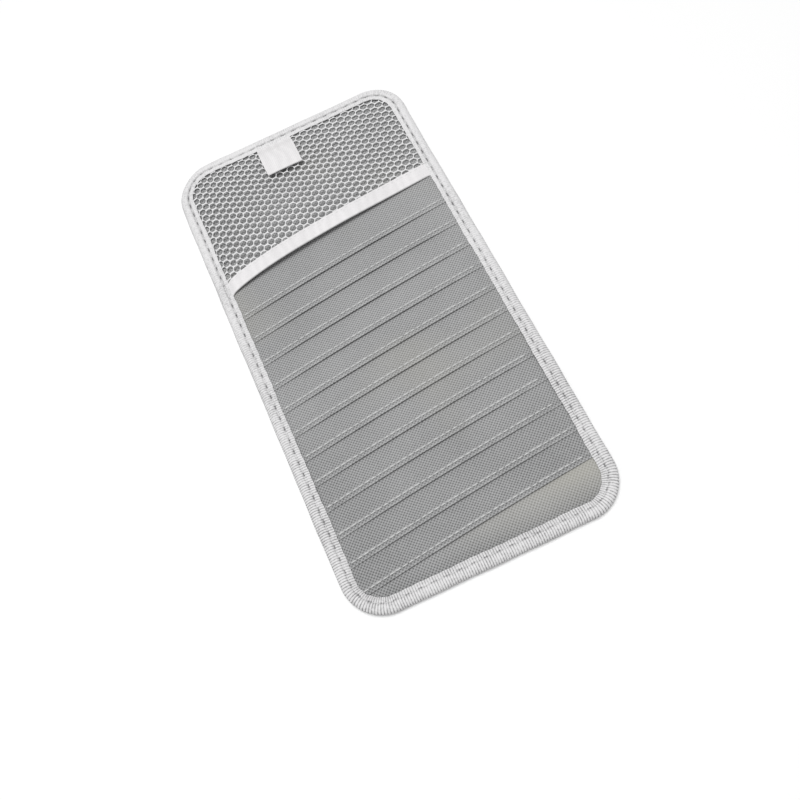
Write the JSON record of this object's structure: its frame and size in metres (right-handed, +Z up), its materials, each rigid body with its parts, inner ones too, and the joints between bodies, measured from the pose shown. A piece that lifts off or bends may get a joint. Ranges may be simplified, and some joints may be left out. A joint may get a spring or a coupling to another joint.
{
  "type": "car visor disc organiser",
  "caption": "Flat fabric organiser with slanted overlapping disc sleeves, a net pocket at one end, taped edges and elastic back straps.",
  "frame": {"origin": "under the middle of the piece, on the plane that it rests on", "axes": "+Z up out of the front, +Y towards the net pocket end along the length, +X across to the right seen from the front"},
  "size_m": [0.155, 0.31, 0.0122],
  "materials": {
    "grey_canvas": "embossed non-woven canvas, matt",
    "stiffener": "grey board, matt, hidden",
    "pale_tape": "ribbed woven tape, matt",
    "white_ribbon": "plain woven ribbon, soft sheen",
    "white_net": "knitted net with six-sided holes",
    "grey_thread": "sewing thread",
    "black_elastic": "ribbed elastic webbing"
  },
  "bodies": {
    "root": {"back_panel": "grey_canvas", "stiffener_board": "stiffener", "base_liner": "grey_canvas", "sleeve_01_body": "grey_canvas", "sleeve_02_body": "grey_canvas", "sleeve_03_body": "grey_canvas", "sleeve_04_body": "grey_canvas", "sleeve_05_body": "grey_canvas", "sleeve_06_body": "grey_canvas", "sleeve_07_body": "grey_canvas", "sleeve_08_body": "grey_canvas", "sleeve_09_body": "grey_canvas", "sleeve_10_body": "grey_canvas", "sleeve_11_body": "grey_canvas", "sleeve_12_body": "grey_canvas", "edge_binding": "pale_tape", "binding_thread": "grey_thread"},
    "sleeve_01_lip": {"sleeve_01_lip": "grey_canvas", "sleeve_01_hem_thread": "grey_thread"},
    "sleeve_02_lip": {"sleeve_02_lip": "grey_canvas", "sleeve_02_hem_thread": "grey_thread"},
    "sleeve_03_lip": {"sleeve_03_lip": "grey_canvas", "sleeve_03_hem_thread": "grey_thread"},
    "sleeve_04_lip": {"sleeve_04_lip": "grey_canvas", "sleeve_04_hem_thread": "grey_thread"},
    "sleeve_05_lip": {"sleeve_05_lip": "grey_canvas", "sleeve_05_hem_thread": "grey_thread"},
    "sleeve_06_lip": {"sleeve_06_lip": "grey_canvas", "sleeve_06_hem_thread": "grey_thread"},
    "sleeve_07_lip": {"sleeve_07_lip": "grey_canvas", "sleeve_07_hem_thread": "grey_thread"},
    "sleeve_08_lip": {"sleeve_08_lip": "grey_canvas", "sleeve_08_hem_thread": "grey_thread"},
    "sleeve_09_lip": {"sleeve_09_lip": "grey_canvas", "sleeve_09_hem_thread": "grey_thread"},
    "sleeve_10_lip": {"sleeve_10_lip": "grey_canvas", "sleeve_10_hem_thread": "grey_thread"},
    "sleeve_11_lip": {"sleeve_11_lip": "grey_canvas", "sleeve_11_hem_thread": "grey_thread"},
    "sleeve_12_lip": {"sleeve_12_lip": "grey_canvas", "sleeve_12_hem_thread": "grey_thread"},
    "pocket": {"pocket_net": "white_net", "pocket_trim": "white_ribbon", "pocket_trim_thread": "grey_thread"},
    "pull_tab": {"pull_tab": "white_ribbon"},
    "back_strap_top": {"back_strap_top": "black_elastic"},
    "back_strap_bottom": {"back_strap_bottom": "black_elastic"}
  },
  "joints": [
    {"name": "sleeve_01_lift", "type": "hinge", "parent": "root", "child": "sleeve_01_lip", "pos_m": [0, 0.06065, 0.00577], "axis": [-0.9933, -0.1152, 0], "range_deg": [0, 20], "stiffness_Nm_per_rad": 0.004},
    {"name": "sleeve_02_lift", "type": "hinge", "parent": "root", "child": "sleeve_02_lip", "pos_m": [0, 0.04365, 0.00581], "axis": [-0.9933, -0.1152, 0], "range_deg": [0, 20], "stiffness_Nm_per_rad": 0.004},
    {"name": "sleeve_03_lift", "type": "hinge", "parent": "root", "child": "sleeve_03_lip", "pos_m": [0, 0.0268, 0.00586], "axis": [-0.9933, -0.1152, 0], "range_deg": [0, 20], "stiffness_Nm_per_rad": 0.004},
    {"name": "sleeve_04_lift", "type": "hinge", "parent": "root", "child": "sleeve_04_lip", "pos_m": [0, 0.00995, 0.0059], "axis": [-0.9933, -0.1152, 0], "range_deg": [0, 20], "stiffness_Nm_per_rad": 0.004},
    {"name": "sleeve_05_lift", "type": "hinge", "parent": "root", "child": "sleeve_05_lip", "pos_m": [0, -0.00665, 0.00592], "axis": [-0.9933, -0.1152, 0], "range_deg": [0, 20], "stiffness_Nm_per_rad": 0.004},
    {"name": "sleeve_06_lift", "type": "hinge", "parent": "root", "child": "sleeve_06_lip", "pos_m": [0, -0.02285, 0.0056], "axis": [-0.9933, -0.1152, 0], "range_deg": [0, 20], "stiffness_Nm_per_rad": 0.004},
    {"name": "sleeve_07_lift", "type": "hinge", "parent": "root", "child": "sleeve_07_lip", "pos_m": [0, -0.03865, 0.00525], "axis": [-0.9933, -0.1152, 0], "range_deg": [0, 20], "stiffness_Nm_per_rad": 0.004},
    {"name": "sleeve_08_lift", "type": "hinge", "parent": "root", "child": "sleeve_08_lip", "pos_m": [0, -0.0542, 0.0049], "axis": [-0.9933, -0.1152, 0], "range_deg": [0, 20], "stiffness_Nm_per_rad": 0.004},
    {"name": "sleeve_09_lift", "type": "hinge", "parent": "root", "child": "sleeve_09_lip", "pos_m": [0, -0.06975, 0.00455], "axis": [-0.9933, -0.1152, 0], "range_deg": [0, 20], "stiffness_Nm_per_rad": 0.004},
    {"name": "sleeve_10_lift", "type": "hinge", "parent": "root", "child": "sleeve_10_lip", "pos_m": [0, -0.08555, 0.0042], "axis": [-0.9933, -0.1152, 0], "range_deg": [0, 20], "stiffness_Nm_per_rad": 0.004},
    {"name": "sleeve_11_lift", "type": "hinge", "parent": "root", "child": "sleeve_11_lip", "pos_m": [0, -0.10175, 0.00385], "axis": [-0.9933, -0.1152, 0], "range_deg": [0, 20], "stiffness_Nm_per_rad": 0.004},
    {"name": "sleeve_12_lift", "type": "hinge", "parent": "root", "child": "sleeve_12_lip", "pos_m": [0, -0.11835, 0.0035], "axis": [-0.9933, -0.1152, 0], "range_deg": [0, 20], "stiffness_Nm_per_rad": 0.004},
    {"name": "pocket_open", "type": "hinge", "parent": "root", "child": "pocket", "pos_m": [0, 0.1463, 0.0062], "axis": [-1, 0, 0], "range_deg": [0, 12], "stiffness_Nm_per_rad": 0.15},
    {"name": "tab_flip", "type": "hinge", "parent": "pocket", "child": "pull_tab", "pos_m": [-0.008, 0.1463, 0.0078], "axis": [-1, 0, 0], "range_deg": [0, 120]},
    {"name": "strap_top_stretch", "type": "slide", "parent": "root", "child": "back_strap_top", "axis": [0, 0, -1], "range_m": [0, 0.025], "stiffness_N_per_m": 60},
    {"name": "strap_bottom_stretch", "type": "slide", "parent": "root", "child": "back_strap_bottom", "axis": [0, 0, -1], "range_m": [0, 0.025], "stiffness_N_per_m": 60}
  ]
}
